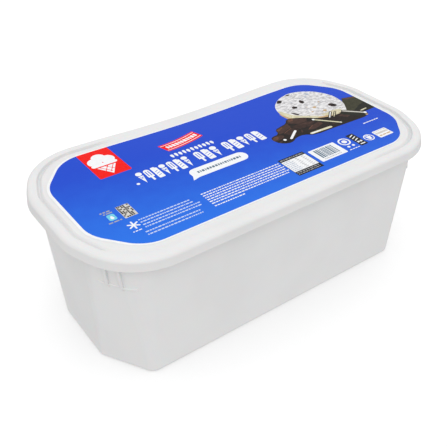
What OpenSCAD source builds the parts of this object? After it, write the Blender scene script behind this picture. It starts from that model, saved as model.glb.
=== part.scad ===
// Shut four litre ice cream tub: a tapered eight-sided tub, a press-on lid and the
// film label on the lid's panel. The tub stands on Z = 0, its middle at the origin,
// its long way along X.

/* [Base of the tub] */
// How far each wall leans in, from the mouth down to the base
taper = 4.5; // [2:0.5:14]
// How far along its length each corner of the base is cut off
base_cut_l = 22.5; // [12:0.5:40]
// How far across its width each corner of the base is cut off
base_cut_w = 37.5; // [15:0.5:45]
// Rounding of the upright edges at the base
base_corner_r = 9.5; // [3:0.5:14]
// Rounding of the heel, where the wall meets the foot
heel_r = 2.6; // [1:0.1:5]
// Width of the foot that the tub stands on
foot_w = 7; // [4:0.5:12]
// How far the underside is set up inside the foot
foot_recess = 1.2; // [0.5:0.1:3]

/* [Mouth of the tub] */
// Height of the tub without its lid
tub_h = 108.6; // [80:0.2:150]
// How far the lid stands out past the wall of the tub at its mouth
lid_overhang = 9.5; // [8:0.5:16]
// How far along its length each corner of the mouth is cut off
mouth_cut_l = 19.5; // [14:0.5:30]
// How far across its width each corner of the mouth is cut off
mouth_cut_w = 31; // [24:0.5:42]
// Rounding of the upright edges at the mouth
mouth_corner_r = 29; // [10:1:33]
// Thickness of the flange round the mouth
flange_t = 2.2; // [1.2:0.1:2.6]
// Height over which the wall flares out under the flange
flare_h = 2; // [1:0.2:5]

/* [Stacking lugs under the lid] */
// How far the ribs reach down below the lid
rib_drop = 23.5; // [10:0.5:40]
// How far the ribs stand out of the wall
rib_proud = 2; // [1:0.1:3]
// Place of the first rib on the corner's flat, as a share of the way from the tub's end
rib_place = 0.4; // [0:0.05:0.7]
// Thickness of a rib
rib_t = 2.4; // [1:0.1:4]
// How far the ledge beside the ribs stands out of the wall
ledge_proud = 0.8; // [0.5:0.1:2]
// Height of the ledge
ledge_h = 2; // [1:0.1:4]

/* [Lid] */
// Length of the lid
lid_l = 313; // [300:1:400]
// Width of the lid
lid_w = 160; // [150:1:220]
// How far along its length each corner of the lid is cut off
lid_cut_l = 19; // [16:0.5:30]
// How far across its width each corner of the lid is cut off
lid_cut_w = 51; // [46:0.5:56]
// Rounding of the lid's corners
lid_corner_r = 50; // [40:1:54]
// Thickness of the skirt
skirt_t = 1.5; // [1:0.1:3]
// How far the skirt hangs below the top of the tub
skirt_hang = 4.7; // [2.6:0.1:8]
// Height of the flat part of the skirt
skirt_upright = 5; // [2:0.1:6.5]
// How far the skirt leans in over its flat part
skirt_lean = 1; // [0:0.1:1.5]
// Height of the rim above the top of the tub
rim_rise = 3.4; // [2.8:0.1:6]
// How far in from the skirt the rim reaches its full height
rim_round = 4.6; // [2.5:0.1:8]
// Width of the rim, from the skirt to its inner edge
rim_w = 8; // [7.6:0.2:12]
// Rounding of the rim's inner edge
rim_edge_r = 0.5; // [0.2:0.1:0.5]
// How far the panel lies below the rim
panel_drop = 0.6; // [0.2:0.1:1]
// Width of the groove between the rim and the panel
groove_w = 4.6; // [3:0.2:6]
// Depth of the groove below the panel
groove_d = 1.8; // [0.4:0.1:2]
// Length over which one end of each groove runs out on a long side
groove_fade = 26; // [10:1:40]
// Width of the lid, at each end, before the other end of the groove stops short
groove_stop_w = 100; // [80:1:130]

/* [Label] */
// Width of the plain border between the groove and each end of the label
label_border_l = 2.4; // [0.6:0.2:16]
// Width of the plain border between the groove's line and each long side of the label
label_border_w = 3.8; // [0.6:0.2:16]
// How far along its length each corner of the label is cut off
label_cut_l = 25; // [20:0.5:32]
// How far across its width each corner of the label is cut off
label_cut_w = 31; // [26:0.5:36]
// Rounding of the label's corners
label_corner_r = 29.7; // [10:0.1:32]
// Thickness of the label
label_t = 0.25; // [0.1:0.05:0.4]

/* [Fit] */
// Clearance between the tub's flange and the inside of the skirt
flange_gap = 0.35; // [0.2:0.05:0.8]

/* [Hidden] */
// Points on each rounded corner, and points between corners on each long side
ARC_STEPS = 6;
SIDE_STEPS = 4;
// Steps in the heel's and the rim's rounding
HEEL_STEPS = 4;
RIM_STEPS = 6;
// The groove's section from the rim to the panel: [share of its width, share of its depth]
GROOVE_PROFILE = [[0, 0.15], [0.2, 0.8], [0.36, 1], [0.6, 1], [0.84, 0.35], [1, 0]];
// How far a lug is sunk into the wall that it is moulded on
LUG_ROOT = 3;
// The points that start and end a corner's flat, and the one where its ledge ends
FLAT_START = ARC_STEPS;
FLAT_END = ARC_STEPS + 1;
LEDGE_END = ARC_STEPS + 4;

skirt_z = tub_h - skirt_hang;
rim_z = tub_h + rim_rise;
panel_z = rim_z - panel_drop;
edge_r = skirt_t / 3;
flange_z = tub_h - flange_t;
wall_top_z = flange_z - flare_h;
panel_inset = rim_w + groove_w;

lid_shape = [lid_l / 2, lid_w / 2, lid_cut_l, lid_cut_w, lid_corner_r];
mouth_shape = [
    lid_l / 2 - lid_overhang,
    lid_w / 2 - lid_overhang,
    mouth_cut_l,
    mouth_cut_w,
    mouth_corner_r
];
base_shape = [
    mouth_shape[0] - taper,
    mouth_shape[1] - taper,
    base_cut_l,
    base_cut_w,
    base_corner_r
];
label_shape = [
    lid_l / 2 - panel_inset - label_border_l,
    lid_w / 2 - panel_inset - label_border_w,
    label_cut_l,
    label_cut_w,
    label_corner_r
];

// A shape is [half length, half width, cut along X, cut along Y, corner rounding].
// Inset by d, every side moves in by d and the rounded corners stay concentric.
function inset(shape, d) =
    let (lean = atan(shape[2] / shape[3]))
    [
        shape[0] - d,
        shape[1] - d,
        shape[2] - d * (1 - tan((90 - lean) / 2)),
        shape[3] - d * (1 - tan(lean / 2)),
        max(1, shape[4] - d)
    ];

// Points of the arc that rounds one vertex: the outline turns by `turn` there,
// and its side leaves the vertex's arc at the angle `from + turn`.
function corner_arc(vertex, r, from, turn) =
    let (reach = r * tan(turn / 2))
    let (start = vertex - reach * [cos(from), sin(from)])
    let (centre = start + r * [-sin(from), cos(from)])
    [
        for (i = [0 : ARC_STEPS])
            let (a = from - 90 + turn * i / ARC_STEPS)
            centre + r * [cos(a), sin(a)]
    ];

// The corner of a shape at +X +Y, anticlockwise: two rounded vertices.
function corner(shape) =
    let (lean = atan(shape[2] / shape[3]))
    concat(
        corner_arc([shape[0], shape[1] - shape[3]], shape[4], 90, lean),
        corner_arc([shape[0] - shape[2], shape[1]], shape[4], 90 + lean, 90 - lean)
    );

function reversed(list) = [for (i = [len(list) - 1 : -1 : 0]) list[i]];
function flipped(list, sx, sy) = [for (p = list) [p[0] * sx, p[1] * sy]];

// Points between the corners of a long side, walking from +X to -X on the +Y side.
function long_side(shape) =
    let (last = corner(shape)[2 * ARC_STEPS + 1])
    [for (i = [1 : SIDE_STEPS]) [last[0] * (1 - 2 * i / (SIDE_STEPS + 1)), last[1]]];

// The whole outline, anticlockwise.
function outline(shape) =
    let (c = corner(shape))
    let (s = long_side(shape))
    concat(
        c,
        s,
        reversed(flipped(c, -1, 1)),
        flipped(c, -1, -1),
        flipped(s, -1, -1),
        reversed(flipped(c, 1, -1))
    );

function ring(shape, z) = [for (p = outline(shape)) [p[0], p[1], z]];

// The groove is 1 round each end of the lid and 0 along the middle of its long sides.
// At one corner of each end it runs out gently, and at the other it stops short. The two
// grooves are half a turn apart.
fade_end_x = lid_l / 2 - lid_cut_l - lid_corner_r - groove_fade;
function groove_share(p) =
    let (y = p[1] * sign(p[0]))
    let (runs_out = min(1, max(0, (abs(p[0]) - fade_end_x) / groove_fade)))
    y > groove_stop_w / 2 ? 0 : y <= 0 ? runs_out : 1;

// A ring of the groove, a share `across` of its width in from the rim's inner edge and
// a share `down` of its depth below the plain slope that joins the rim to the panel.
function groove_ring(across, down) =
    let (z = rim_z - panel_drop * across)
    let (dip = down * (z - panel_z + groove_d))
    let (shape = inset(lid_shape, rim_w + groove_w * across))
    [for (p = outline(shape)) [p[0], p[1], z - dip * groove_share(p)]];

// A closed solid through rings that all have the same number of points.
module loft(rings) {
    n = len(rings[0]);
    last = len(rings) - 1;
    sides = [
        for (r = [0 : last - 1], i = [0 : n - 1])
            let (j = (i + 1) % n)
            [r * n + i, (r + 1) * n + i, (r + 1) * n + j, r * n + j]
    ];
    polyhedron(
        points = [for (one = rings, p = one) p],
        faces = concat(
            [[for (i = [0 : n - 1]) i]],
            sides,
            [[for (i = [n - 1 : -1 : 0]) last * n + i]]
        ),
        convexity = 6
    );
}

// The tub, filled and shut: foot, heel, tapered wall and the flange round its mouth.
module tub_body() {
    flange_shape = inset(lid_shape, skirt_t + skirt_lean + flange_gap);
    loft(concat(
        [
            ring(inset(base_shape, heel_r + foot_w + foot_recess), foot_recess),
            ring(inset(base_shape, heel_r + foot_w), 0)
        ],
        [
            for (i = [0 : HEEL_STEPS])
                let (a = 90 * i / HEEL_STEPS)
                ring(inset(base_shape, heel_r * (1 - sin(a))), heel_r * (1 - cos(a)))
        ],
        [
            ring(mouth_shape, wall_top_z),
            ring(flange_shape, flange_z),
            ring(flange_shape, tub_h)
        ]
    ));
}

// Point i of a corner of the wall at height z, and the wall's outward angle there.
function wall_point(i, z) =
    let (up = (z - heel_r) / (wall_top_z - heel_r))
    corner(base_shape)[i] * (1 - up) + corner(mouth_shape)[i] * up;
function wall_angle(i, z) =
    let (along = wall_point(i + 1, z) - wall_point(i - 1, z))
    atan2(along[1], along[0]) - 90;

// A place on the flat of a corner of the wall: a share of the way along it, at height z.
function flat_point(share, z) =
    wall_point(FLAT_START, z) * (1 - share) + wall_point(FLAT_END, z) * share;
function flat_angle(z) =
    let (along = wall_point(FLAT_END, z) - wall_point(FLAT_START, z))
    atan2(along[1], along[0]) - 90;

// One upright rib below the lid, cut off at a slant at its foot.
module rib(share) {
    foot_z = skirt_z - rib_drop;
    top_z = flange_z + flange_t / 2;
    at = flat_point(share, foot_z);
    lean = norm(flat_point(share, top_z) - at);
    translate([at[0], at[1], foot_z])
        rotate([0, 0, flat_angle(foot_z)])
            rotate([90, 0, 0])
                translate([0, 0, -rib_t / 2])
                    linear_extrude(rib_t)
                        polygon([
                            [-LUG_ROOT, 0],
                            [0, 0],
                            [rib_proud, 2 * rib_proud],
                            [lean + rib_proud, top_z - foot_z],
                            [-LUG_ROOT, top_z - foot_z]
                        ]);
}

// The low ledge that runs along the flat and on round the corner.
module ledge() {
    ledge_z = skirt_z - rib_drop + ledge_h;
    points = [for (i = [FLAT_START : LEDGE_END]) wall_point(i, ledge_z)];
    outward = [for (i = [FLAT_START : LEDGE_END]) wall_angle(i, ledge_z)];
    far = [for (i = [0 : len(points) - 1])
        points[i] + ledge_proud * [cos(outward[i]), sin(outward[i])]];
    root = [for (i = [0 : len(points) - 1])
        points[i] - LUG_ROOT * [cos(outward[i]), sin(outward[i])]];
    translate([0, 0, ledge_z])
        linear_extrude(ledge_h)
            polygon(concat(far, reversed(root)));
}

module corner_lugs() {
    for (sx = [0, 1], sy = [0, 1])
        mirror([sx, 0, 0])
            mirror([0, sy, 0]) {
                rib(rib_place);
                rib(1);
                ledge();
            }
}

module tub() {
    color([0.86, 0.86, 0.86]) {
        tub_body();
        corner_lugs();
    }
}

// The lid: the skirt round the flange, the rounded rim, the groove and the panel.
module lid() {
    color([0.93, 0.93, 0.93])
        loft(concat(
            [
                ring(inset(lid_shape, skirt_t + skirt_lean), tub_h),
                ring(inset(lid_shape, skirt_t), skirt_z + edge_r),
                ring(inset(lid_shape, skirt_t - edge_r), skirt_z),
                ring(inset(lid_shape, edge_r), skirt_z),
                ring(lid_shape, skirt_z + edge_r)
            ],
            [
                for (i = [0 : RIM_STEPS])
                    let (a = 90 * i / RIM_STEPS)
                    let (z = skirt_z + skirt_upright)
                    let (d = skirt_lean + (rim_round - skirt_lean) * (1 - cos(a)))
                    ring(inset(lid_shape, d), z + (rim_z - z) * sin(a))
            ],
            [ring(inset(lid_shape, rim_w - rim_edge_r), rim_z)],
            [for (step = GROOVE_PROFILE) groove_ring(step[0], step[1])]
        ));
}

// The printed film on the panel.
module label() {
    color([0.16, 0.36, 0.85])
        translate([0, 0, panel_z])
            linear_extrude(label_t)
                polygon(outline(label_shape));
}

tub();
lid();
label();
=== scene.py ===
"""Looks of a shut ice cream tub: a white tapered tub with stacking lugs, a white lid with a
rounded rim, and a printed film label. Sizes are in millimetres until a mesh is made."""

import math
import random

import bmesh
import bpy
from mathutils import Matrix, Vector
from mathutils.geometry import delaunay_2d_cdt


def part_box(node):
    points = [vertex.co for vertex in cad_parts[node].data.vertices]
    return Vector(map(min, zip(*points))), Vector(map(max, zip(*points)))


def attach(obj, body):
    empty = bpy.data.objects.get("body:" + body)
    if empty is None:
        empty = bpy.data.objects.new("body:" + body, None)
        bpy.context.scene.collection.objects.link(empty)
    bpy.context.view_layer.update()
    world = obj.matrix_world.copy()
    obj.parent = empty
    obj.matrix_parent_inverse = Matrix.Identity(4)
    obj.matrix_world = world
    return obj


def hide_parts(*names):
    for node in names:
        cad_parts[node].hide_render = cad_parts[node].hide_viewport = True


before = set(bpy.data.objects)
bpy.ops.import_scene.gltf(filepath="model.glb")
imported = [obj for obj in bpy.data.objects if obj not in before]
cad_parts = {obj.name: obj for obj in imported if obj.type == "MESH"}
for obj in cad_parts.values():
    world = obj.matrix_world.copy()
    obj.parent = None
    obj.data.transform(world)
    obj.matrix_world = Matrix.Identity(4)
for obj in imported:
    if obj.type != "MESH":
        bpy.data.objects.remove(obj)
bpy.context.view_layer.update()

# Metres in a millimetre.
MM = 0.001


# ---------------------------------------------------------------- places from the frame


def box_mm(node):
    """Lowest and highest corner of a CAD node, in millimetres."""
    low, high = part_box(node)
    return low / MM, high / MM


_, tub_high = box_mm("tub")
lid_low, lid_high = box_mm("lid")
label_low, label_high = box_mm("label")

SKIRT_Z = lid_low.z
RIM_Z = lid_high.z
TUB_TOP_Z = tub_high.z
PANEL_Z = label_low.z
PRINT_Z = label_high.z


# ---------------------------------------------------------------- outlines seen from above


class Outline:
    """A rectangle with cut and rounded corners: its half sizes, its cuts and its rounding."""

    ARC_STEPS = 12
    CUT_STEPS = 3
    LONG_STEPS = 44
    END_STEPS = 12

    def __init__(self, half_l, half_w, cut_l, cut_w, radius):
        self.half_l, self.half_w = half_l, half_w
        self.cut_l, self.cut_w = cut_l, cut_w
        self.radius = radius

    def inset(self, d):
        """The outline moved in by d all round, its rounded corners staying concentric."""
        lean = math.atan(self.cut_l / self.cut_w)
        return Outline(
            self.half_l - d,
            self.half_w - d,
            self.cut_l - d * (1 - math.tan((math.pi / 2 - lean) / 2)),
            self.cut_w - d * (1 - math.tan(lean / 2)),
            max(1.0, self.radius - d),
        )

    def _arc(self, x, y, start, turn):
        """Points of the arc that rounds one vertex, where the outline turns from start."""
        reach = self.radius * math.tan(turn / 2)
        x -= reach * math.cos(start) + self.radius * math.sin(start)
        y -= reach * math.sin(start) - self.radius * math.cos(start)
        angles = [start - math.pi / 2 + turn * i / self.ARC_STEPS for i in range(self.ARC_STEPS + 1)]
        return [(x + self.radius * math.cos(a), y + self.radius * math.sin(a)) for a in angles]

    def corner(self):
        """The rounded corner at +X +Y, anticlockwise."""
        lean = math.atan(self.cut_l / self.cut_w)
        first = self._arc(self.half_l, self.half_w - self.cut_w, math.pi / 2, lean)
        second = self._arc(
            self.half_l - self.cut_l, self.half_w, math.pi / 2 + lean, math.pi / 2 - lean
        )
        return first + between(first[-1], second[0], self.CUT_STEPS) + second

    def points(self):
        """The whole outline, anticlockwise from the middle of the +X end's top corner."""
        ne = self.corner()
        nw = [(-x, y) for x, y in reversed(ne)]
        sw = [(-x, -y) for x, y in ne]
        se = [(x, -y) for x, y in reversed(ne)]
        loop = []
        for this, following, steps in (
            (ne, nw, self.LONG_STEPS),
            (nw, sw, self.END_STEPS),
            (sw, se, self.LONG_STEPS),
            (se, ne, self.END_STEPS),
        ):
            loop += this + between(this[-1], following[0], steps)
        return loop


def between(p, q, steps):
    """The points that divide the way from p to q into equal steps, without its ends."""
    return [
        (p[0] + (q[0] - p[0]) * i / steps, p[1] + (q[1] - p[1]) * i / steps)
        for i in range(1, steps)
    ]


def smoothstep(low, high, value):
    """0 where value is under low, 1 where it is over high, easing from one to the other."""
    share = min(1.0, max(0.0, (value - low) / (high - low)))
    return share * share * (3 - 2 * share)


LID_SHAPE = Outline(lid_high.x, lid_high.y, cut_l=19, cut_w=51, radius=50)
LABEL_SHAPE = Outline(label_high.x, label_high.y, cut_l=25, cut_w=31, radius=29.7)

# The tub's own sizes, as the CAD model has them.
LID_OVERHANG = 9.5
TAPER = 4.5
HEEL_R = 2.6
FOOT_W = 7.0
FOOT_RECESS = 1.2
# How far in from the foot's inner edge, and how high, each ring of the recess lies.
FOOT_RINGS = ((2.4, FOOT_RECESS), (1.6, FOOT_RECESS - 0.1), (0.4, 0.1), (0.0, 0.0))
FLANGE_T = 2.2
# A ring this far up the flange's edge keeps the edge crisp.
FLANGE_EDGE = 0.3
FLARE_H = 2.0
WALL_TOP_Z = TUB_TOP_Z - FLANGE_T - FLARE_H
FLANGE_INSET = lid_high.x - tub_high.x
MOUTH_SHAPE = Outline(
    lid_high.x - LID_OVERHANG, lid_high.y - LID_OVERHANG, cut_l=19.5, cut_w=31, radius=29
)
BASE_SHAPE = Outline(
    MOUTH_SHAPE.half_l - TAPER, MOUTH_SHAPE.half_w - TAPER, cut_l=22.5, cut_w=37.5, radius=9.5
)

# The lid's section.
SKIRT_T = 1.5
SKIRT_UPRIGHT = 5.0
SKIRT_LEAN = 1.0
LIP_R = SKIRT_T / 3
RIM_ROUND = 4.6
RIM_W = 8.0
# The flat that is left between the top of the rim and the groove.
RIM_FLAT = 0.9
GROOVE_W = 4.6
GROOVE_D = 1.8
GROOVE_FADE = 26.0
GROOVE_STOP_W = 100.0
# Where the groove's two walls start and end, as shares of its width.
GROOVE_OUTER_WALL = (-0.05, 0.16)
GROOVE_INNER_WALL = (0.34, 0.92)

# The lid hangs a little along the middle of its back edge, as thin lids do: how far, where
# along the lid, how far to each side, and from where across it.
SAG = 2.4
SAG_MIDDLE = -2.0
SAG_REACH = 104.0
SAG_STARTS = 12.0
SAG_PAST_EDGE = 14.0
SAG_DEPTH = 14.0
SAG_INWARD = 0.5


def settled(x, y, z):
    """Where a point of the lid, the label or the flange lies once the lid has settled."""
    along = max(0.0, 1 - ((x - SAG_MIDDLE) / SAG_REACH) ** 2)
    across = smoothstep(SAG_STARTS, lid_high.y + SAG_PAST_EDGE, y)
    drop = SAG * along * along * across * smoothstep(WALL_TOP_Z - SAG_DEPTH, WALL_TOP_Z, z)
    return (x, y - drop * SAG_INWARD, z - drop)


# ---------------------------------------------------------------- meshes


def mesh_object(name, vertices, faces, materials, replaced=()):
    """A mesh object from millimetre points, riding on the tub's one body."""
    mesh = bpy.data.meshes.new(name)
    points = [settled(*vertex) for vertex in vertices]
    mesh.from_pydata([(x * MM, y * MM, z * MM) for x, y, z in points], [], faces)
    mesh.validate()
    for material in materials:
        mesh.materials.append(material)
    piece = bpy.data.objects.new(name, mesh)
    bpy.context.scene.collection.objects.link(piece)
    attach(piece, "root")
    if replaced:
        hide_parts(*replaced)
    return piece


def smooth(piece, sharp_over=42):
    """Smooth shading with sharp edges only where faces meet at more than this angle."""
    mesh = piece.data
    mesh.polygons.foreach_set("use_smooth", [True] * len(mesh.polygons))
    mesh.set_sharp_from_angle(angle=math.radians(sharp_over))
    weighted = piece.modifiers.new("even_shading", "WEIGHTED_NORMAL")
    weighted.keep_sharp = True


def loft(rings):
    """Vertices and faces of a closed skin through rings with the same number of points."""
    count = len(rings[0])
    vertices = [point for ring in rings for point in ring]
    faces = [tuple(reversed(range(count)))]
    for r in range(len(rings) - 1):
        for i in range(count):
            j = (i + 1) % count
            low, high = r * count, (r + 1) * count
            faces.append((low + i, low + j, high + j, high + i))
    last = (len(rings) - 1) * count
    faces.append(tuple(range(last, last + count)))
    return vertices, faces


def level(outline, z):
    """A ring of points round an outline at one height."""
    return [(x, y, z) for x, y in outline.points()]


PANEL_STEP = 8
# Points nearer than this to an edge of the print, in millimetres, count as on it.
SPLIT_NEAR = 1e-5
SEW_NEAR = 0.002


def panel_grid():
    """Places all over the lid, so that a broad flat face can follow the settled lid."""
    reach_x, reach_y = int(LID_SHAPE.half_l), int(LID_SHAPE.half_w)
    return [
        (x, y)
        for x in range(-reach_x, reach_x + 1, PANEL_STEP)
        for y in range(-reach_y, reach_y + 1, PANEL_STEP)
    ]


def divided(layers, ground=0):
    """Triangles that divide the first outline along all the others, and each one's top layer.

    Layers above the ground show only where the ground is.
    """
    points, outlines = [], []
    for outline in layers:
        outlines.append(list(range(len(points), len(points) + len(outline))))
        points += [Vector(p) for p in outline]
    points += [Vector(p) for p in panel_grid()]
    split = delaunay_2d_cdt(points, [], outlines, 1, SPLIT_NEAR)
    vertices, triangles, tops = split[0], [], []
    for triangle, layers_here in zip(split[2], split[5]):
        if 0 in layers_here:
            a, b, c = (vertices[i] for i in triangle)
            upward = (b - a).cross(c - a) > 0
            triangles.append(tuple(triangle) if upward else tuple(reversed(triangle)))
            tops.append(max(layers_here) if ground in layers_here else 0)
    return [(p.x, p.y) for p in vertices], triangles, tops


def sew(mesh):
    """Join the points of a mesh that lie on each other and drop those that no face uses."""
    sewn = bmesh.new()
    sewn.from_mesh(mesh)
    bmesh.ops.delete(sewn, geom=[v for v in sewn.verts if not v.link_faces], context="VERTS")
    bmesh.ops.remove_doubles(sewn, verts=sewn.verts, dist=SEW_NEAR * MM)
    sewn.to_mesh(mesh)
    sewn.free()


def blend_outlines(low, high, share):
    """The outline that lies a share of the way up the straight walls between two others."""
    return [
        (a[0] + (b[0] - a[0]) * share, a[1] + (b[1] - a[1]) * share)
        for a, b in zip(low, high)
    ]


# ---------------------------------------------------------------- shader building


class Number:
    """A number socket. Sums and products of it add their own Math nodes."""

    def __init__(self, nodes, socket):
        self.nodes, self.socket = nodes, socket

    def _math(self, operation, first, second):
        node = self.nodes.node("ShaderNodeMath", {"operation": operation}, {0: first, 1: second})
        return Number(self.nodes, node.outputs[0])

    def __add__(self, other):
        return self._math("ADD", self, other)

    def __sub__(self, other):
        return self._math("SUBTRACT", self, other)

    def __rsub__(self, other):
        return self._math("SUBTRACT", other, self)

    def __mul__(self, other):
        return self._math("MULTIPLY", self, other)

    __radd__ = __add__
    __rmul__ = __mul__


class Nodes:
    """A node tree being made."""

    def __init__(self, tree, coordinates):
        self.tree = tree
        self.place = self.node("ShaderNodeTexCoord").outputs[coordinates]

    def node(self, kind, settings=None, sockets=None):
        """Any node: its settings first, then the value or the link of each socket."""
        made = self.tree.nodes.new(kind)
        for name, value in (settings or {}).items():
            if name == "stops":
                self.set_stops(made.color_ramp, value)
            else:
                setattr(made, name, value)
        for key, value in (sockets or {}).items():
            self.put(made.inputs[key], value)
        return made

    def set_stops(self, ramp, stops):
        """The stops of a colour ramp, each a place and a colour."""
        for place, _ in stops[2:]:
            ramp.elements.new(place)
        for element, (place, tint) in zip(ramp.elements, stops):
            element.position = place
            element.color = colour(tint)

    def put(self, socket, value):
        """Link a socket, or set its value."""
        value = getattr(value, "socket", value)
        if isinstance(value, bpy.types.NodeSocket):
            self.tree.links.new(value, socket)
        else:
            socket.default_value = value

    def axis(self, name):
        """The place along the axis X, Y or Z."""
        node = self.node("ShaderNodeSeparateXYZ", sockets={0: self.place})
        return Number(self, node.outputs[name])


class Finish(Nodes):
    """A material being made: its node tree and the shader at the end of it."""

    def __init__(self, name):
        self.material = bpy.data.materials.new(name)
        self.material.use_nodes = True
        super().__init__(self.material.node_tree, "Object")
        self.shader = self.tree.nodes["Principled BSDF"]

    def set(self, **values):
        """Sockets of the end shader, such as base_color=... for Base Color."""
        for name, value in values.items():
            title = name.replace("_", " ").title().replace("Ior", "IOR")
            self.put(self.shader.inputs[title], value)

    def stretched(self, x=1.0, y=1.0, z=1.0):
        """The place in the object with its axes stretched."""
        node = self.node(
            "ShaderNodeVectorMath", {"operation": "MULTIPLY"}, {0: self.place, 1: (x, y, z)}
        )
        return node.outputs[0]

    def noise(self, size_mm, detail=2.0, roughness=0.5, place=None):
        """Noise whose lumps are about size_mm across, from 0 to 1."""
        sockets = {
            "Vector": place or self.place,
            "Scale": 1 / (size_mm * MM),
            "Detail": detail,
            "Roughness": roughness,
        }
        return Number(self, self.node("ShaderNodeTexNoise", sockets=sockets).outputs["Fac"])

    def cells(self, size_mm):
        """Distance to the nearest of many scattered points, about size_mm apart."""
        node = self.node(
            "ShaderNodeTexVoronoi",
            {"feature": "F1"},
            {"Vector": self.place, "Scale": 1 / (size_mm * MM)},
        )
        return Number(self, node.outputs["Distance"])

    def between(self, value, low, high):
        """0 where value is under low, 1 where it is over high, smooth between them."""
        node = self.node(
            "ShaderNodeMapRange",
            {"interpolation_type": "SMOOTHSTEP"},
            {"Value": value, "From Min": low, "From Max": high},
        )
        return Number(self, node.outputs["Result"])

    def mix(self, share, first, second):
        """The first colour where share is 0, the second where it is 1."""
        node = self.node(
            "ShaderNodeMix",
            {"data_type": "RGBA"},
            {0: share, 6: colour(first), 7: colour(second)},
        )
        return node.outputs[2]

    def bump(self, height, depth_mm, strength, under=None):
        """Relief of a height from 0 to 1 that is depth_mm deep, over another relief."""
        sockets = {"Height": height, "Distance": depth_mm * MM, "Strength": strength}
        if under is not None:
            sockets["Normal"] = under
        return self.node("ShaderNodeBump", sockets=sockets).outputs["Normal"]


def colour(value):
    """A colour written as three numbers, or a socket that already holds one."""
    return (*value, 1.0) if isinstance(value, tuple) and len(value) == 3 else value


def grey(value):
    return (value, value, value)


PLASTIC_IOR = 1.49
INK_ROUGHNESS = 0.42
INK_SHINE = 0.08
BLUE_FRONT = (0.018, 0.150, 0.69)
BLUE_BACK = (0.008, 0.058, 0.53)


def moulded_plastic(name, tint, shade, roughness):
    """Satin white polypropylene: fine grain, broad waviness and a trace of translucency."""
    finish = Finish(name)
    cloud = finish.noise(38, detail=3)
    grain = finish.noise(0.45)
    flow = finish.noise(9, place=finish.stretched(0.35, 0.35, 1.0))
    scuffs = finish.between(finish.noise(6, detail=6, roughness=0.7), 0.60, 0.72)
    relief = finish.bump(cloud + flow * 0.35, depth_mm=0.30, strength=0.5)
    relief = finish.bump(grain, depth_mm=0.012, strength=0.6, under=relief)
    finish.set(
        base_color=finish.mix(finish.between(cloud, 0.35, 0.7), tint, shade),
        roughness=roughness + grain * 0.08 + scuffs * 0.07,
        normal=relief,
        subsurface_weight=0.12,
        subsurface_scale=2 * MM,
        ior=PLASTIC_IOR,
    )
    return finish.material


def film_relief(finish):
    """Relief shared by every ink: the film's orange peel and the panel's slow waves."""
    waves = finish.noise(45, place=finish.stretched(0.6, 1.0, 1.0))
    peel = finish.noise(1.6)
    relief = finish.bump(waves, depth_mm=0.5, strength=0.5)
    return finish.bump(peel, depth_mm=0.012, strength=0.7, under=relief)


def ink(name, tint, shade=None):
    """One printed ink on the film, with the slight unevenness of a litho print."""
    finish = Finish(name)
    mottle = finish.noise(3.0, detail=4, roughness=0.6)
    shade = shade or tuple(c * 0.93 for c in tint)
    finish.set(
        base_color=finish.mix(finish.between(mottle, 0.3, 0.75), tint, shade),
        roughness=INK_ROUGHNESS + mottle * 0.06,
        specular_ior_level=INK_SHINE,
        normal=film_relief(finish),
    )
    return finish.material


def blue_ink():
    """The label's ground: royal blue that deepens towards the back edge."""
    finish = Finish("ink_royal_blue")
    mottle = finish.noise(14, detail=3)
    depth = finish.axis("Y") * (1 / (2 * LABEL_SHAPE.half_w * MM)) + 0.5
    side = finish.axis("X") * (1 / (2 * LABEL_SHAPE.half_l * MM)) + 0.5
    share = depth * 0.65 + side * 0.35 + mottle * 0.16 - 0.08
    finish.set(
        base_color=finish.mix(finish.between(share, 0.0, 0.62), BLUE_FRONT, BLUE_BACK),
        roughness=0.40 + finish.noise(2.0) * 0.05,
        specular_ior_level=INK_SHINE,
        normal=film_relief(finish),
    )
    return finish.material


def scoop_ink():
    """The drawn scoop: cream white, torn into strokes, warmer and darker low on the left."""
    finish = Finish("ink_scoop")
    smear = finish.stretched(0.8, 1.5, 1.0)
    strokes = finish.noise(3.4, detail=5, roughness=0.65, place=smear)
    pits = finish.cells(2.6)
    low = finish.between(finish.axis("Y") * -1 + finish.axis("X") * -0.35, -0.052, 0.0)
    torn = finish.between(strokes, 0.38, 0.66)
    tone = finish.mix(torn, (0.74, 0.735, 0.74), (0.40, 0.39, 0.40))
    tone = finish.mix(finish.between(pits, 0.22, 0.0) * 0.35, tone, (0.34, 0.32, 0.32))
    tone = finish.mix(low * 0.45, tone, (0.70, 0.62, 0.50))
    finish.set(
        base_color=tone,
        roughness=INK_ROUGHNESS,
        specular_ior_level=INK_SHINE,
        normal=film_relief(finish),
    )
    return finish.material


TUB_PLASTIC = moulded_plastic("tub_polypropylene", grey(0.745), grey(0.725), 0.44)
LID_PLASTIC = moulded_plastic("lid_polypropylene", grey(0.69), grey(0.67), 0.42)

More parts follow.
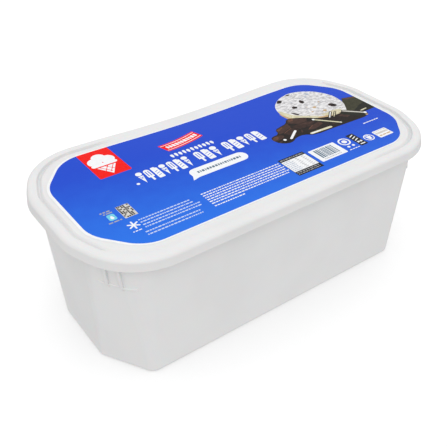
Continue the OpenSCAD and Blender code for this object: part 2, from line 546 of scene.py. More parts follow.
INKS = {
    "film": ink("film_white", (0.80, 0.805, 0.81)),
    "blue": blue_ink(),
    "red": ink("ink_red", (0.80, 0.004, 0.001)),
    "white": ink("ink_white", (0.80, 0.81, 0.83)),
    "black": ink("ink_black", (0.012, 0.012, 0.014)),
    "slate": ink("ink_slate", (0.10, 0.16, 0.22)),
    "mist": ink("ink_mist", (0.30, 0.37, 0.50)),
    "pale": ink("ink_pale", (0.50, 0.59, 0.80)),
    "cyan": ink("ink_cyan", (0.16, 0.55, 0.70)),
    "grey": ink("ink_grey", (0.34, 0.34, 0.36)),
    "stone": ink("ink_stone", (0.62, 0.60, 0.56), (0.50, 0.47, 0.43)),
    "scoop": scoop_ink(),
    "tan": ink("ink_tan", (0.55, 0.38, 0.20), (0.42, 0.27, 0.13)),
    "butter": ink("ink_butter", (0.66, 0.62, 0.44), (0.50, 0.46, 0.30)),
    "russet": ink("ink_russet", (0.135, 0.056, 0.034), (0.085, 0.036, 0.022)),
    "cocoa": ink("ink_cocoa", (0.062, 0.030, 0.022), (0.038, 0.018, 0.014)),
    "umber": ink("ink_umber", (0.040, 0.019, 0.014), (0.022, 0.011, 0.009)),
    "espresso": ink("ink_espresso", (0.016, 0.010, 0.008), (0.009, 0.006, 0.005)),
    "olive": ink("ink_olive", (0.045, 0.043, 0.022), (0.025, 0.025, 0.013)),
    "moss": ink("ink_moss", (0.014, 0.015, 0.009), (0.009, 0.010, 0.006)),
}


# ---------------------------------------------------------------- the tub


def wall_loop(z):
    """Points of the tub's straight wall at height z."""
    share = (z - HEEL_R) / (WALL_TOP_Z - HEEL_R)
    return blend_outlines(BASE_SHAPE.points(), MOUTH_SHAPE.points(), share)


def tub_shell():
    """The tub's skin: recessed foot, rounded heel, tapered wall and the flange."""
    flange = LID_SHAPE.inset(FLANGE_INSET)
    flange_z = TUB_TOP_Z - FLANGE_T
    heel_steps, wall_steps = 8, 26
    rings = [
        level(BASE_SHAPE.inset(HEEL_R + FOOT_W + further), z) for further, z in FOOT_RINGS
    ]
    for i in range(heel_steps + 1):
        a = math.pi / 2 * i / heel_steps
        heel = BASE_SHAPE.inset(HEEL_R * (1 - math.sin(a)))
        rings.append(level(heel, HEEL_R * (1 - math.cos(a))))
    for i in range(1, wall_steps + 1):
        z = HEEL_R + (WALL_TOP_Z - HEEL_R) * i / wall_steps
        rings.append([(x, y, z) for x, y in wall_loop(z)])
    top = MOUTH_SHAPE.points()
    for share in (0.25, 0.6, 1.0):
        z = WALL_TOP_Z + FLARE_H * math.sin(share * math.pi / 2)
        loop = blend_outlines(top, flange.points(), 1 - math.cos(share * math.pi / 2))
        rings.append([(x, y, z) for x, y in loop])
    rings += [level(flange, flange_z + FLANGE_EDGE), level(flange, TUB_TOP_Z)]
    vertices, faces = loft(rings)
    piece = mesh_object("tub_shell", vertices, faces, [TUB_PLASTIC], ["tub"])
    smooth(piece)


RIB_DROP = 23.5
RIB_PROUD = 2.0
RIB_T = 2.4
# Shares of the way along the flat of a corner.
RIB_PLACES = (0.4, 1.0)
LEDGE_PROUD = 0.8
LEDGE_H = 2.0
# How many steps of the outline the ledge reaches past the flat.
LEDGE_SPAN = 5
# How deep the lugs are sunk in the wall, and how far their edges are rounded.
LUG_ROOT = 1.5
LUG_ROUND = 0.65


def wall_frame(index, z):
    """A point of the wall's +X +Y corner at height z and the unit vector out of the wall."""
    share = (z - HEEL_R) / (WALL_TOP_Z - HEEL_R)
    loop = blend_outlines(BASE_SHAPE.corner(), MOUTH_SHAPE.corner(), share)
    along = Vector(loop[index + 1]) - Vector(loop[index - 1])
    along.normalize()
    return Vector(loop[index]), Vector((along.y, -along.x))


def flat_point(share, z):
    """A point of the flat between a corner's two roundings, at height z."""
    start, _ = wall_frame(Outline.ARC_STEPS, z)
    end, _ = wall_frame(Outline.ARC_STEPS + Outline.CUT_STEPS, z)
    return start.lerp(end, share)


def rib_mesh(place):
    """Vertices and faces of one upright rib, its foot cut at a slant."""
    foot_z, top_z = SKIRT_Z - RIB_DROP, TUB_TOP_Z - FLANGE_T / 2
    foot = flat_point(place, foot_z)
    lean = (flat_point(place, top_z) - foot).length
    _, out = wall_frame(Outline.ARC_STEPS + 1, foot_z)
    side = Vector((-out.y, out.x))
    section = [
        (-LUG_ROOT, foot_z),
        (0, foot_z),
        (RIB_PROUD, foot_z + 2 * RIB_PROUD),
        (lean + RIB_PROUD, top_z),
        (-LUG_ROOT, top_z),
    ]
    vertices = []
    for half in (-RIB_T / 2, RIB_T / 2):
        for reach, z in section:
            at = foot + out * reach + side * half
            vertices.append((at.x, at.y, z))
    return vertices, prism_faces(len(section))


def ledge_mesh():
    """Vertices and faces of the low ledge that runs from the first rib round the corner."""
    low_z = SKIRT_Z - RIB_DROP + LEDGE_H
    first = Outline.ARC_STEPS
    last = first + Outline.CUT_STEPS + LEDGE_SPAN
    far, root = [], []
    for i in range(first, last + 1):
        at, out = wall_frame(i, low_z)
        far.append(at + out * LEDGE_PROUD)
        root.append(at - out * LUG_ROOT)
    section = far + root[::-1]
    vertices = [(p.x, p.y, z) for z in (low_z, low_z + LEDGE_H) for p in section]
    return vertices, prism_faces(len(section))


def prism_faces(count):
    """Faces of a prism whose two ends each have count points."""
    sides = [(i, (i + 1) % count, count + (i + 1) % count, count + i) for i in range(count)]
    return [tuple(reversed(range(count))), *sides, tuple(range(count, 2 * count))]


def stacking_lugs():
    """Two ribs and a ledge under the lid at every corner, in one softened mesh."""
    vertices, faces = [], []
    ribs = [rib_mesh(place) for place in RIB_PLACES]
    for part_vertices, part_faces in [*ribs, ledge_mesh()]:
        for sx in (1, -1):
            for sy in (1, -1):
                start = len(vertices)
                vertices += [(x * sx, y * sy, z) for x, y, z in part_vertices]
                faces += [tuple(start + i for i in face) for face in part_faces]
    piece = mesh_object("stacking_lugs", vertices, faces, [TUB_PLASTIC])
    shell = bmesh.new()
    shell.from_mesh(piece.data)
    bmesh.ops.recalc_face_normals(shell, faces=shell.faces)
    shell.to_mesh(piece.data)
    shell.free()
    soft = piece.modifiers.new("moulded_edges", "BEVEL")
    soft.width = LUG_ROUND * MM
    soft.segments = 4
    smooth(piece, 60)


# ---------------------------------------------------------------- the lid


def groove_share(x, y):
    """How much of the groove's depth a place has: all round each end, none along the sides.

    One end of each groove runs out gently and the other stops short, half a turn apart.
    """
    y *= math.copysign(1, x)
    if y > GROOVE_STOP_W / 2:
        return 0.0
    if y > 0:
        return 1.0
    fade_end = LID_SHAPE.half_l - LID_SHAPE.cut_l - LID_SHAPE.radius - GROOVE_FADE
    return smoothstep(fade_end, fade_end + GROOVE_FADE, abs(x))


def groove_ring(across):
    """A ring of the groove, a share of its width in from the rim's inner edge."""
    z = RIM_Z - (RIM_Z - PANEL_Z) * smoothstep(0, 1, across)
    down = smoothstep(*GROOVE_OUTER_WALL, across) * (1 - smoothstep(*GROOVE_INNER_WALL, across))
    dip = down * (z - PANEL_Z + GROOVE_D)
    loop = LID_SHAPE.inset(RIM_W + GROOVE_W * across).points()
    return [(x, y, z - dip * groove_share(x, y)) for x, y in loop]


def lid_shell():
    """The lid's skin: skirt, lip, rounded rim, groove and panel."""
    rings = [level(LID_SHAPE.inset(SKIRT_T + SKIRT_LEAN), TUB_TOP_Z)]
    lip_steps, rim_steps, groove_steps = 6, 18, 20
    for i in range(lip_steps + 1):
        a = math.pi / 2 * i / lip_steps
        inset = SKIRT_T - LIP_R * (1 - math.cos(a))
        rings.append(level(LID_SHAPE.inset(inset), SKIRT_Z + LIP_R * (1 - math.sin(a))))
    for i in range(lip_steps + 1):
        a = math.pi / 2 * i / lip_steps
        inset = LIP_R * (1 - math.sin(a))
        rings.append(level(LID_SHAPE.inset(inset), SKIRT_Z + LIP_R * (1 - math.cos(a))))
    start_z = SKIRT_Z + SKIRT_UPRIGHT
    for i in range(rim_steps + 1):
        a = math.pi / 2 * i / rim_steps
        inset = SKIRT_LEAN + (RIM_ROUND - SKIRT_LEAN) * (1 - math.cos(a))
        rings.append(level(LID_SHAPE.inset(inset), start_z + (RIM_Z - start_z) * math.sin(a)))
    rings.append(level(LID_SHAPE.inset(RIM_W - RIM_FLAT), RIM_Z))
    rings += [groove_ring(i / groove_steps) for i in range(groove_steps + 1)]
    vertices, faces = loft(rings)
    faces.pop()
    start = len(vertices)
    places, triangles, _ = divided([[(x, y) for x, y, _ in rings[-1]]])
    vertices += [(x, y, PANEL_Z) for x, y in places]
    faces += [tuple(start + i for i in triangle) for triangle in triangles]
    piece = mesh_object("lid_shell", vertices, faces, [LID_PLASTIC], ["lid"])
    sew(piece.data)
    smooth(piece, 50)


# ---------------------------------------------------------------- the print


class Print:
    """Flat shapes laid one over another on the label, each in its own ink."""

    def __init__(self):
        self.shapes = []
        self.shift = (0.0, 0.0)

    def lay(self, ink_name, *outlines):
        for outline in outlines:
            moved = [(x + self.shift[0], y + self.shift[1]) for x, y in outline]
            self.shapes.append((ink_name, anticlockwise(moved)))


def anticlockwise(points):
    """The outline in the turning direction that keeps its inside on the left."""
    twice_area = sum(p[0] * q[1] - q[0] * p[1] for p, q in zip(points[-1:] + points, points))
    return points if twice_area > 0 else points[::-1]


def rectangle(x0, y0, x1, y1):
    return [(x0, y0), (x1, y0), (x1, y1), (x0, y1)]


def arc(x, y, radius, start, end, steps):
    """Points on a circle from one angle to another, in degrees, both ends included."""
    angles = [math.radians(start + (end - start) * i / steps) for i in range(steps + 1)]
    return [(x + radius * math.cos(a), y + radius * math.sin(a)) for a in angles]


def disc(x, y, radius, steps=24):
    return arc(x, y, radius, 0, 360, steps)[:-1]


def rounded(x0, y0, x1, y1, radius, steps=4):
    """A rectangle with rounded corners."""
    return (
        arc(x1 - radius, y1 - radius, radius, 0, 90, steps)
        + arc(x0 + radius, y1 - radius, radius, 90, 180, steps)
        + arc(x0 + radius, y0 + radius, radius, 180, 270, steps)
        + arc(x1 - radius, y0 + radius, radius, 270, 360, steps)
    )


def stroke(x0, y0, x1, y1, width, steps=4):
    """A straight bar with round ends."""
    heading = math.degrees(math.atan2(y1 - y0, x1 - x0))
    half = width / 2
    return arc(x1, y1, half, heading - 90, heading + 90, steps) + arc(
        x0, y0, half, heading + 90, heading + 270, steps
    )


def softened(points, rounds=2):
    """A closed outline with its corners cut again and again."""
    for _ in range(rounds):
        cut = []
        for (x0, y0), (x1, y1) in zip(points, points[1:] + points[:1]):
            cut.append((x0 * 0.75 + x1 * 0.25, y0 * 0.75 + y1 * 0.25))
            cut.append((x0 * 0.25 + x1 * 0.75, y0 * 0.25 + y1 * 0.75))
        points = cut
    return points


def dashes(x0, x1, y, height, rng, shortest=1.2, longest=5.5, gap=0.75):
    """A line of bars of uneven length that stands for a line of small print."""
    bars = []
    x = x0
    while x < x1 - shortest:
        end = min(x1, x + rng.uniform(shortest, longest))
        bars.append(rectangle(x, y - height / 2, end, y + height / 2))
        x = end + gap
    return bars


def print_flag(art):
    """The red flag at the back edge, with a plain white ice cream cone on it."""
    edge = LABEL_SHAPE.half_w
    art.lay("red", [
        (-103.8, edge), (-103.6, 23.6), (-102.8, 22.8), (-78.6, 22.8), (-77.8, 23.6), (-78.2, edge)
    ])
    centre = -91.2
    for dx, dy in ((-5.2, 0), (5.2, 0), (0, 4.6)):
        art.lay("white", disc(centre + dx, 46 + dy, 5.6))
    art.lay("white", rounded(centre - 10.4, 38.6, centre + 10.4, 42.6, 2.0))
    art.lay("white", [(centre - 7.6, 37.2), (centre, 25.4), (centre + 7.6, 37.2)])
    for k in (-1, 1):
        for i in (0, 1):
            start, end = centre + k * (4.6 * i - 5.6), centre + k * (4.6 * i + 0.6)
            art.lay("red", stroke(start, 37.4, end, 28.6, 0.6))


def print_ribbon(art, rng):
    """The curved red ribbon, edged by two thin white lines."""
    left, right = -44.2, -9.0
    low, rise = 34.2, 5.9
    half_w, slant = 5.8, 0.28

    def along(share, offset):
        x = left + (right - left) * share
        y = low + rise * share * share
        return (x - offset * slant, y + offset)

    def band(start, end, low, high):
        steps = 10
        shares = [start + (end - start) * i / steps for i in range(steps + 1)]
        return [along(s, low) for s in shares] + [along(s, high) for s in reversed(shares)]

    art.lay("red", band(0, 1, -half_w, half_w))
    art.lay("white", band(0.02, 0.98, 3.7, 4.35), band(0.02, 0.98, -4.35, -3.7))
    share = 0.09
    while share < 0.9:
        length = rng.uniform(0.03, 0.075)
        art.lay("white", band(share, share + length, -1.9, 1.9))
        share += length + 0.022


def lolly(art, x, low, high, half):
    """A lolly on its stick, seen from the front."""
    foot = low + 4.6
    art.lay("white", arc(x, high - half, half, 0, 180, 8) + [(x - half, foot), (x + half, foot)])
    art.lay("white", rounded(x - 0.9, low, x + 0.9, foot + 0.4, 0.8))
    for centre in (x - 1.05, x + 1.05):
        art.lay("blue", rounded(centre - 0.36, foot + 1.8, centre + 0.36, high - 2.2, 0.3))


def cone(art, x, low, high, half):
    """A cone with one round scoop and a cut of light across the wafer."""
    middle = high - half
    shoulder = middle - half - 0.6
    art.lay("white", disc(x, middle, half, 20))
    art.lay("white", [(x - half + 0.3, shoulder), (x, low), (x + half - 0.3, shoulder)])
    art.lay("blue", stroke(x - 1.3, shoulder - 1.4, x + 0.9, shoulder - 3.4, 0.5))
    art.lay("blue", stroke(x + 1.3, shoulder - 1.4, x - 0.9, shoulder - 3.4, 0.5))


def choc_ice(art, x, low, high, half):
    """A coated bar with a bite out of its top corner."""
    art.lay("white", rounded(x - half, low, x + half, high, 1.0))
    art.lay("blue", disc(x + half, high, 1.7, 14))
    for rise in (4.4, 7.2, 10.0):
        art.lay("blue", stroke(x - half + 1.2, low + rise - 1, x + half - 1.2, low + rise, 0.55))


# Left end, right end and number of treats of each group in the frieze.
TREAT_GROUPS = ((-81.5, -36, 7), (-31.5, -9.5, 3), (-5.5, 32, 5))
# Half the width of a treat, as a share of its pitch.
TREAT_HALF = 0.38
DROPS, DROPS_LEFT, DROP_PITCH = 11, -44.4, 3.62


def print_title(art):
    """A frieze of frozen treats in three groups, with a row of small drops over it."""
    low, high = 1.4, 16.8
    art.lay("white", disc(-84.6, 3.4, 1.3, 12))
    treats = (cone, lolly, choc_ice)
    drawn = 0
    for left, right, count in TREAT_GROUPS:
        pitch = (right - left) / count
        for i in range(count):
            treat = treats[drawn % len(treats)]
            treat(art, left + pitch * (i + 0.5), low, high, pitch * TREAT_HALF)
            drawn += 1
    for i in range(DROPS):
        x = DROPS_LEFT + i * DROP_PITCH
        half, top = (1.1, 24.9) if i % 2 else (1.25, 24.4)
        drop = arc(x, top - half, half, 0, 180, 6)
        art.lay("white", drop + [(x - half, 21.4), (x, 19.2), (x + half, 21.4)])


def print_bubble(art, rng):
    """The white speech bubble under the title."""
    low, high, left, right = -14.2, -2.4, -47.8, 2.8
    r = (high - low) / 2
    outline = (
        arc(right - r, low + r, r, -90, 90, 10)
        + arc(left + 5, high - 5, 5, 90, 180, 6)
        + [(left, low + 3.4), (left - 2.4, low - 1.6), (left + 3.6, low)]
    )
    art.lay("white", outline)
    art.lay("slate", *dashes(-42.0, -3.0, -8.2, 2.6, rng, 0.8, 2.2, 0.75))


def print_code_block(art, rng):
    """A block of scattered dark cells that holds no code."""
    columns, rows, filled = 6, 9, 0.55
    art.lay("stone", rectangle(-112.2, -27.6, -102.6, -12.6))
    for column in range(columns):
        for row in range(rows):
            if rng.random() < filled:
                x, y = -111.9 + column * 1.55, -14.1 - row * 1.62
                art.lay("espresso", rectangle(x, y, x + 1.3, y + 1.25))


def print_small_print(art, rng):
    """Small marks and lines of small print along the front of the label."""
    art.lay("grey", *dashes(-124, -115, -13.6, 1.5, rng), *dashes(-122.6, -116, -15.9, 1.2, rng))
    art.lay("cyan", rounded(-121.8, -24.8, -116.2, -17.6, 1.4))
    art.lay("white", softened([(-119, -18.8), (-117.4, -22.4), (-119, -23.8), (-120.6, -22.4)]))
    art.lay("grey", *dashes(-124, -114.4, -26.8, 1.2, rng))
    print_code_block(art, rng)
    star_x, star_y, star_r = -111.6, -37.0, 3.9
    for heading in (30, 90, 150):
        dx = star_r * math.cos(math.radians(heading))
        dy = star_r * math.sin(math.radians(heading))
        art.lay("white", stroke(star_x - dx, star_y - dy, star_x + dx, star_y + dy, 1.2))
    art.lay("white", *dashes(-115.6, -107.6, -43.6, 0.9, rng, 1.0, 2.4))
    for y, end in ((-34.0, -66.5), (-37.0, -65.5), (-40.2, -62), (-43.2, -62.5)):
        art.lay("pale", *dashes(-106.4, end, y, 1.15, rng, 0.7, 2.6, 0.55))
    for y in (-47.9, -51.1):
        art.lay("pale", *dashes(-109, -66.6, y, 1.15, rng, 0.7, 2.6, 0.55))
    left, top, line_pitch = -56.4, -33.3, 2.7
    for line in range(6):
        end = 12 if line == 5 else 14
        art.lay("white", *dashes(left, end, top - line_pitch * line, 1.1, rng, 0.7, 2.8, 0.6))
    art.lay("white", *dashes(left, -31, -50.2, 1.1, rng, 0.7, 2.8, 0.6))


def print_table(art, rng):
    """The white table with its dark head and foot."""
    left, right = 15.4, 39.6
    art.lay("black", rectangle(left, -55.4, right, -30.4))
    art.lay("white", rectangle(left + 0.4, -50.0, right - 0.4, -34.2))
    art.lay("grey", *dashes(left + 1.2, right - 1.2, -32.2, 1.1, rng, 0.8, 2.6))
    for row in range(7):
        y = -35.5 - row * 2.15
        art.lay("mist", *dashes(left + 1.4, 24.6, y, 0.7, rng, 0.8, 2.6, 0.4))
        art.lay("grey", *[rectangle(x, y - 0.34, x + 2.4, y + 0.34) for x in (28, 34)])
        art.lay("stone", rectangle(left + 0.8, y - 1.2, right - 0.8, y - 0.98))
    for y in (-51.6, -53.6):
        art.lay("grey", *dashes(left + 1, right - 1, y, 0.85, rng, 0.8, 3))


def print_bar_code(art, rng):
    """Plain bars of uneven width on a white ground, which stand for no number."""
    art.lay("white", rounded(42.2, -51.6, 68.2, -34.0, 0.8))
    x = 46
    while x < 64.4:
        width = rng.choice((0.7, 1.0, 1.5))
        art.lay("slate", rectangle(x, -47.6, x + width, -35.6))
        x += width + rng.choice((0.5, 0.6, 0.9))
    art.lay("grey", *dashes(46, 64.4, -49.4, 0.9, rng, 0.8, 1.4, 0.5))


def print_marks(art, rng):
    """The row of small signs to the right of the bars."""
    art.lay("white", disc(76, -39, 5.2))
    art.lay("blue", disc(76, -39, 3.9))
    art.lay("white", disc(76, -39, 2.3, 16))
    art.lay("white", disc(73.6, -46.6, 1.3, 12), disc(78.4, -46.6, 1.3, 12))
    art.lay("white", *dashes(70.8, 81.2, -50.8, 0.9, rng, 1, 2.6))
    art.lay("black", rounded(83.0, -51.2, 90.4, -32.8, 0.8))
    for y in (-35.6, -38.6, -41.6):
        art.lay("white", stroke(84.8, y - 0.8, 88.6, y + 0.8, 0.9))
    art.lay("white", rectangle(84.4, -46.2, 86.4, -44.2), rectangle(87.2, -46.2, 89.2, -44.2))
    art.lay("white", rectangle(84.4, -49.4, 89.2, -48.2))
    art.lay("white", disc(97, -45.2, 4.6))
    art.lay("blue", disc(97, -45.2, 3.7))
    art.lay("white", [(94.6, -43.4), (99.4, -43.4), (98.4, -48.0), (95.6, -48.0)])
    art.lay("white", stroke(95.4, -42.4, 98.6, -42.4, 0.8))
    art.lay("white", rounded(104.4, -51.2, 119.0, -40.6, 1.0))
    art.lay("stone", *dashes(105.2, 118.6, -41.9, 1.0, rng, 2, 4))
    art.lay("stone", rounded(105.2, -46.0, 118.4, -43.6, 0.4))
    art.lay("tan", *dashes(106, 118, -48.6, 1.5, rng, 2, 5))
    art.lay("white", *dashes(110, 127, -26.4, 1.0, rng, 1.4, 3.4, 0.5))


def ragged(x, y, radius, rng, steps=72, depth=0.5):
    """A round outline with an uneven edge."""
    swell = [rng.uniform(-depth, depth) for _ in range(steps)]
    points = []
    for i in range(steps):
        a = 2 * math.pi * i / steps
        r = radius + (swell[i] + swell[i - 1] + swell[(i + 1) % steps]) / 3
        points.append((x + r * math.cos(a), y + r * math.sin(a)))
    return points


def chip(x, y, length, width, heading, rng):
    """A small broken fleck."""
    points = []
    for i in range(7):
        a = 2 * math.pi * i / 7
        reach = rng.uniform(0.8, 1.15)
        u, v = math.cos(a) * length / 2 * reach, math.sin(a) * width / 2 * reach
        h = math.radians(heading)
        points.append((x + u * math.cos(h) - v * math.sin(h), y + u * math.sin(h) + v * math.cos(h)))
    return softened(points, 1)


def wafer(art, x0, y0, x1, y1, width, fill="butter", crust="moss", fill_share=0.3):
    """A sandwich wafer seen edge on: dark crust with a pale filling along its middle."""
    art.lay(crust, stroke(x0, y0, x1, y1, width, 3))
    art.lay(fill, stroke(x0, y0, x1, y1, width * fill_share, 3))


SCOOP_X, SCOOP_Y, SCOOP_R = 95.9, 21.0, 30.2
# Place, length, width and heading in degrees of each chip of chocolate.
SCOOP_CHIPS = (
    (80.4, 43.4, 7.6, 4.4, 35),
    (94.0, 49.2, 5.2, 1.8, 5),
    (96.2, 32.4, 7.6, 3.8, 72),
    (84.2, 27.4, 5.4, 4.2, 30),
    (77.0, 18.2, 8.2, 2.6, -66),
    (114.2, 12.8, 8.6, 6.0, -55),
)
# Place and size of each fleck of shade and of caramel.
SHADE_FLECKS = ((109.6, 41.6, 4.6), (105, 38, 2.4), (99, 38.4, 1.8), (121, 28, 2.2), (88, 37, 1.6))
CARAMEL_FLECKS = ((98.0, 18.6, 4.0), (101.4, 9.2, 4.4), (108, 24, 2.2), (91, 13, 2.4), (93, 22.4, 1.6))
SCOOP_CRUMBS = 34
# Place and heading of each crumb on the biscuits.
BISCUIT_CRUMBS = ((36, -12, 15), (53, -9, 40), (61, -8, 60), (88, -7, 30), (92, -13, 10))


def print_scoop(art, rng):
    """A drawn scoop of flecked ice cream on broken chocolate biscuits."""
    edge = LABEL_SHAPE.half_l
    art.lay("olive", [(edge, 14.0), (128.6, 17.4), (120, 6), (112, -6), (124, -12), (edge, -11.4)])
    art.lay("moss", [(edge, 2), (131, -1), (118, -7), (124, -12), (edge, -11.4)])
    art.lay("russet", [(128.8, 16.6), (edge, 12.8), (edge, 11.4), (129.6, 14.4)])
    art.lay("butter", stroke(125, -8.8, 132.8, -8.0, 1.3))
    art.lay("scoop", ragged(SCOOP_X, SCOOP_Y, SCOOP_R, rng))
    art.lay("tan", softened([
        (64.8, 26), (65.2, 14), (71, 4.6), (82, 0), (88, -3),
        (84, 5), (74, 10.6), (69.4, 17), (67.2, 26)
    ]))
    art.lay("butter", softened([
        (66.2, 30), (67.0, 17), (74, 8.6), (84, 3), (93, -2),
        (90, 5.6), (79, 12), (72.4, 19), (69.4, 30)
    ]))
    art.lay("tan", softened([(86, 4), (93, -4), (104, -8), (113, -2), (106, 3.4), (96, 1.4)]))
    art.lay("butter", softened([(92, 6), (99, -1), (107, -3), (116, 3), (108, 6), (100, 4.6)]))
    for x, y, length, width, heading in SCOOP_CHIPS:
        art.lay("umber", chip(x - 0.5, y + 0.4, length, width, heading, rng))
        art.lay("espresso", chip(x + 0.3, y - 0.3, length * 0.75, width * 0.75, heading, rng))
    for x, y, size in SHADE_FLECKS:
        art.lay("mist", chip(x, y, size, size * 0.6, rng.uniform(0, 180), rng))
    for x, y, size in CARAMEL_FLECKS:
        art.lay("tan", chip(x, y, size, size * 0.8, rng.uniform(0, 180), rng))
    for _ in range(SCOOP_CRUMBS):
        a, r = rng.uniform(0, 2 * math.pi), (SCOOP_R - 2) * math.sqrt(rng.random())
        x, y = SCOOP_X + r * math.cos(a), SCOOP_Y + r * math.sin(a)
        fleck = chip(x, y, rng.uniform(0.6, 1.5), 0.6, rng.uniform(0, 180), rng)
        art.lay(rng.choice(("umber", "mist", "stone")), fleck)


def print_biscuits(art, rng):
    """Broken chocolate biscuits and wafers in front of the scoop."""
    art.lay("espresso", softened([
        (31.8, -6.2), (34, -1.8), (42.4, -1.2), (44.4, 6), (52, 7.8), (58.6, 9.2), (63, 14.6),
        (69, 13.4), (79, 8), (86, 1.2), (98, -2.8), (110, -3.4), (123, -6), (128.4, -14),
        (124.6, -20), (104, -19.4), (86, -18.8), (66, -19), (58, -13), (49.6, -13.6), (45, -16.8),
        (39.4, -17), (33.8, -13.2)
    ], 1))
    art.lay("cocoa", [(44.8, 5.4), (52.6, 7.2), (59.4, 8.6), (58, 2.2), (47, -1.4), (42.6, -1.8)])
    art.lay("russet", [(45.4, 4.8), (51.6, 6.6), (51.0, 4.6), (45.0, 2.2)])
    art.lay("cocoa", [(60, 8.6), (63.4, 13.8), (69, 12.6), (78.6, 7.4), (75.6, 2.4), (66, 3.2)])
    art.lay("russet", [(62, 9.8), (64.2, 13.2), (68.8, 12.2), (66.4, 9.4)])
    art.lay("umber", [(58.6, 2), (66, 3), (75.4, 2), (81, -1), (74, -5.6), (62, -4.2)])
    art.lay("cocoa", [(67, 1.6), (74.6, 1.2), (79, -1.2), (73, -2.4)])
    art.lay("cocoa", softened([
        (31.8, -6.2), (34.6, -2.6), (42, -2.4), (45, -6.4), (38, -9), (33, -9.6)
    ]))
    art.lay("russet", softened([
        (32.2, -6.4), (35.2, -3.2), (39.4, -3.4), (38.6, -6.4), (34.2, -8)
    ]))
    art.lay("cocoa", [(66.4, -9.4), (74, -5.2), (84.4, -3.4), (83.4, -8.2), (73, -11.2)])
    art.lay("umber", [(46, -2.6), (57.4, 1.4), (60.4, -4.6), (50, -8.2)])
    art.lay("russet", stroke(47.4, -2.4, 56.8, 0.8, 0.7), stroke(68.4, -8.4, 74.6, -5.6, 0.6))
    for x, y, heading in BISCUIT_CRUMBS:
        art.lay("cocoa", chip(x, y, 5.0, 1.8, heading, rng))
    art.lay("white", stroke(46.2, -12.2, 56.8, -4.6, 2.1), disc(40.6, -11.0, 1.4, 10))
    wafer(art, 64.8, -15.2, 85.0, -16.0, 4.6, "butter", "espresso", 0.56)
    art.lay("white", stroke(65.2, -15.2, 74, -15.5, 1.2))
    wafer(art, 82.2, 0.8, 97.2, -15.4, 5.6)
    art.lay("white", disc(81.6, 1.4, 1.2, 10))
    art.lay("stone", disc(97.0, -15.0, 1.1, 10))
    wafer(art, 95.4, -3.6, 102.6, 3.2, 2.6, "white", "olive", 0.34)
    wafer(art, 99.6, -4.4, 106.4, 1.6, 2.2, "butter", "olive", 0.3)
    art.lay("cocoa", [(103, -6), (109, -4.6), (113.4, -10.4), (108, -11.8)])
    art.lay("moss", stroke(110.4, -4.6, 122.4, -16.2, 6.0))
    wafer(art, 112.6, -1.6, 126.2, -14.6, 3.8, "stone", "olive", 0.45)
    art.lay("white", disc(126.0, -14.2, 1.5, 10))
    art.lay("tan", disc(124.8, -17.4, 1.1, 10))


PRINT_SEED = 11
# How far each group of shapes is moved from where its function draws it.
BISCUITS_SHIFT = (0.4, 0.9)
FLAG_SHIFT = (0.6, 0.0)
TITLE_SHIFT = (0.6, -1.3)
TABLE_SHIFT = (0.2, -0.9)
MARKS_SHIFT = (0.5, -0.4)


def label_art():
    """Every printed shape, in the order in which it is laid."""
    art = Print()
    rng = random.Random(PRINT_SEED)
    print_scoop(art, rng)
    art.shift = BISCUITS_SHIFT
    print_biscuits(art, rng)
    art.shift = FLAG_SHIFT
    print_flag(art)
    print_ribbon(art, rng)
    art.shift = TITLE_SHIFT
    print_title(art)
    print_bubble(art, rng)
    print_small_print(art, rng)
    art.shift = TABLE_SHIFT
    print_table(art, rng)
    art.shift = MARKS_SHIFT
    print_bar_code(art, rng)
    print_marks(art, rng)
    return art.shapes


PRINT_MARGIN = 1.2
# How much the ground falls short at the -X end and reaches on at the +X end.
PRINT_SHORT = 0.9
PRINT_LONG = 0.1
# How much smaller the cuts of the +X corners are.
PRINT_FULLER_L = 1.52
PRINT_FULLER_W = 1.9


def print_ground():
    """The blue ground: it sits a little off the film's middle, with fuller +X corners."""
    plain = LABEL_SHAPE.inset(PRINT_MARGIN)
    half_w, radius = plain.half_w, plain.radius
    cut_l, cut_w = plain.cut_l - PRINT_FULLER_L, plain.cut_w - PRINT_FULLER_W
    left = Outline(plain.half_l - PRINT_SHORT, half_w, plain.cut_l, plain.cut_w, radius)
    right = Outline(plain.half_l + PRINT_LONG, half_w, cut_l, cut_w, radius)
    return [a if a[0] < 0 else b for a, b in zip(left.points(), right.points())]


def printed_label():
    """The film, its top divided along the edges of the printed shapes."""
    film = LABEL_SHAPE.points()
    layers = [("film", film), ("blue", print_ground()), *label_art()]
    places, triangles, tops = divided([outline for _, outline in layers], 1)
    names = list(INKS)
    chosen = [names.index(layers[top][0]) for top in tops]
    count, rim = len(places), len(film)
    solid = [(x, y, PRINT_Z) for x, y in places] + [(x, y, PANEL_Z) for x, y in places]
    solid += [(x, y, PRINT_Z) for x, y in film] + [(x, y, PANEL_Z) for x, y in film]
    faces = triangles + [tuple(count + i for i in reversed(triangle)) for triangle in triangles]
    for i in range(rim):
        this, following = 2 * count + i, 2 * count + (i + 1) % rim
        faces.append((following, this, this + rim, following + rim))
    piece = mesh_object("label_film", solid, faces, list(INKS.values()), ["label"])
    chosen += [0] * (len(faces) - len(chosen))
    piece.data.polygons.foreach_set("material_index", chosen)
    sew(piece.data)


# ---------------------------------------------------------------- room, light and camera


# In metres, as all of the room is.
FLOOR_HALF = 20.0
SWEEP_START = 3.0
SWEEP_R = 6.0
SWEEP_STEPS = 16
SWEEP_SIDES = 96
PAPER = (0.96, 0.96, 0.96, 1.0)


def staged(name, vertices, faces, paper):
    """A piece of the room that throws no light back on the tub."""
    mesh = bpy.data.meshes.new(name)
    mesh.from_pydata(vertices, [], faces)
    mesh.polygons.foreach_set("use_smooth", [True] * len(mesh.polygons))
    mesh.materials.append(paper)
    piece = bpy.data.objects.new(name, mesh)
    bpy.context.scene.collection.objects.link(piece)
    piece.visible_diffuse = False
    piece.visible_glossy = False
    return piece


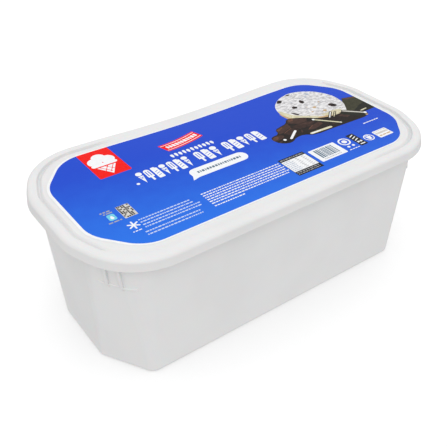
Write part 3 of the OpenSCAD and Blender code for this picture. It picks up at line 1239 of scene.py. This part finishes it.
def studio_floor(paper):
    """A wide pale floor."""
    corners = rectangle(-FLOOR_HALF, -FLOOR_HALF, FLOOR_HALF, FLOOR_HALF)
    staged("floor", [(x, y, 0) for x, y in corners], [(0, 1, 2, 3)], paper)


def studio_sweep(paper):
    """A sweep of the same paper that rises all round, far from the tub."""
    vertices, faces = [], []
    for ring in range(SWEEP_STEPS + 1):
        a = math.pi / 2 * ring / SWEEP_STEPS
        radius = SWEEP_START + SWEEP_R * math.sin(a)
        height = SWEEP_R * (1 - math.cos(a))
        vertices += [(x, y, height) for x, y in disc(0, 0, radius, SWEEP_SIDES)]
    for ring in range(SWEEP_STEPS):
        for i in range(SWEEP_SIDES):
            j = (i + 1) % SWEEP_SIDES
            low, high = ring * SWEEP_SIDES, (ring + 1) * SWEEP_SIDES
            faces.append((low + j, low + i, high + i, high + j))
    sweep = staged("sweep", vertices, faces, paper)
    sweep.visible_shadow = False


def studio_paper():
    """Matt pale paper."""
    finish = Finish("floor_paper")
    finish.set(base_color=PAPER, roughness=0.8)
    return finish.material


def area_light(name, place, aim, size, power):
    """A round softbox at a place, turned towards its aim."""
    light = bpy.data.lights.new(name, "AREA")
    light.shape = "DISK"
    light.size = size
    light.energy = power
    lamp = bpy.data.objects.new(name, light)
    lamp.location = place
    lamp.rotation_euler = (Vector(aim) - Vector(place)).to_track_quat("-Z", "Y").to_euler()
    bpy.context.scene.collection.objects.link(lamp)


DOME_STRENGTH = 1.3
FLOOR_BOUNCE = 0.74
DOME_LOW = 0.84
DOME_HIGH = 1.26
# The dome's colour stops on either side of its horizon.
HORIZON = (0.49, 0.51)
FRONT_PLACE = (-0.7, -1.25, 1.25)
FRONT_AIM = (0, 0, 0.05)
FRONT_SIZE = 1.3
FRONT_WATTS = 5.0


def studio_light():
    """A broad soft dome, brightest overhead, and one large softbox in front on the left."""
    world = bpy.data.worlds.new("room")
    world.use_nodes = True
    room = Nodes(world.node_tree, "Generated")
    under, over = HORIZON
    levels = ((0.0, FLOOR_BOUNCE), (under, FLOOR_BOUNCE), (over, DOME_LOW), (1.0, DOME_HIGH))
    stops = [(place, grey(light / DOME_STRENGTH)) for place, light in levels]
    height = room.axis("Z") * 0.5 + 0.5
    dome = room.node("ShaderNodeValToRGB", {"stops": stops}, {"Fac": height})
    background = room.tree.nodes["Background"]
    room.put(background.inputs["Color"], dome.outputs["Color"])
    room.put(background.inputs["Strength"], DOME_STRENGTH)
    bpy.context.scene.world = world
    area_light("softbox_front", FRONT_PLACE, FRONT_AIM, FRONT_SIZE, FRONT_WATTS)


CAMERA_AZIMUTH = -36.2
CAMERA_ELEVATION = 36.55
CAMERA_ROLL = 0.25
CAMERA_DISTANCE = 0.5097
CAMERA_AIM = (-0.0241, -0.0179, 0.063)
CAMERA_LENS = 53.1


def studio_camera():
    """A camera close above the tub's front left corner."""
    azimuth, elevation = math.radians(CAMERA_AZIMUTH), math.radians(CAMERA_ELEVATION)
    back = Vector(
        (
            math.sin(azimuth) * math.cos(elevation),
            -math.cos(azimuth) * math.cos(elevation),
            math.sin(elevation),
        )
    )
    camera = bpy.data.cameras.new("camera")
    camera.sensor_width = 36
    camera.lens = CAMERA_LENS
    camera.clip_start = 0.01
    holder = bpy.data.objects.new("camera", camera)
    holder.location = Vector(CAMERA_AIM) + back * CAMERA_DISTANCE
    turn = (-back).to_track_quat("-Z", "Y").to_matrix()
    roll = Matrix.Rotation(math.radians(CAMERA_ROLL), 3, turn @ Vector((0, 0, 1)))
    holder.rotation_euler = (roll @ turn).to_euler()
    bpy.context.scene.collection.objects.link(holder)
    bpy.context.scene.camera = holder


tub_shell()
stacking_lugs()
lid_shell()
printed_label()
pale_paper = studio_paper()
studio_floor(pale_paper)
studio_sweep(pale_paper)
studio_light()
studio_camera()
bpy.context.scene.view_settings.view_transform = "Standard"
